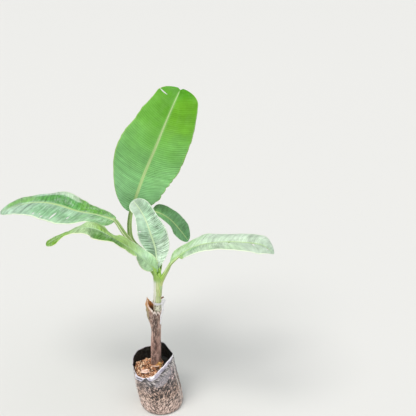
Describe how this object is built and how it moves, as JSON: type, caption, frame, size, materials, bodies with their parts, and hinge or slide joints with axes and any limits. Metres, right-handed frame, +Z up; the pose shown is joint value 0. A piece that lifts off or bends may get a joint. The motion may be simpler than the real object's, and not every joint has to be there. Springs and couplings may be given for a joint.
{
  "type": "young banana plant in a nursery bag",
  "caption": "Young banana plant with broad arching leaves on one straight stem, standing in a soil-filled black nursery bag.",
  "frame": {"origin": "middle of the bag's flat underside, on the surface the plant stands on", "axes": "+Z up along the plant's height, +X to the right and -Y towards the viewer of the picture"},
  "size_m": [0.9518, 0.359, 1.1312],
  "materials": {
    "bag_film": "black polythene film, pressed pebbly by the soil behind it and dusty with pinkish tan mud low down",
    "soil": "loose, granular orange-brown potting soil",
    "stem": "overlapping leaf sheaths: papery purplish brown low down, mottled then light green towards the crown",
    "dry_sheath": "dry, papery brown sheath with dark blotches and an orange tip",
    "tie": "thin white plastic strip",
    "leaf_stalk": "smooth light green leaf stalk and midrib with a groove on its upper side",
    "leaf_green": "pale glaucous green leaf blade with fine side veins, a soft sheen and a pale margin",
    "leaf_bright": "bright yellow-green young leaf blade with fine side veins",
    "leaf_shade": "darker green leaf blade with fine side veins"
  },
  "bodies": {
    "root": {"bag": "bag_film", "soil": "soil", "stem": "stem", "dry_sheath": "dry_sheath", "tie": "tie", "tie_tail": "tie", "leaf_right_stalk": "leaf_stalk", "leaf_right_inner": "leaf_green", "leaf_right_outer": "leaf_green", "leaf_middle_stalk": "leaf_stalk", "leaf_middle_blade": "leaf_green", "leaf_left_front_stalk": "leaf_stalk", "leaf_left_front_inner": "leaf_green", "leaf_left_front_bend": "leaf_green", "leaf_left_front_outer": "leaf_green", "leaf_left_back_stalk": "leaf_stalk", "leaf_left_back_inner": "leaf_green", "leaf_left_back_outer": "leaf_green", "leaf_tall_stalk": "leaf_stalk", "leaf_tall_inner": "leaf_bright", "leaf_tall_outer": "leaf_bright", "leaf_rear_stalk": "leaf_stalk", "leaf_rear_inner": "leaf_shade", "leaf_rear_outer": "leaf_shade"}
  },
  "joints": []
}
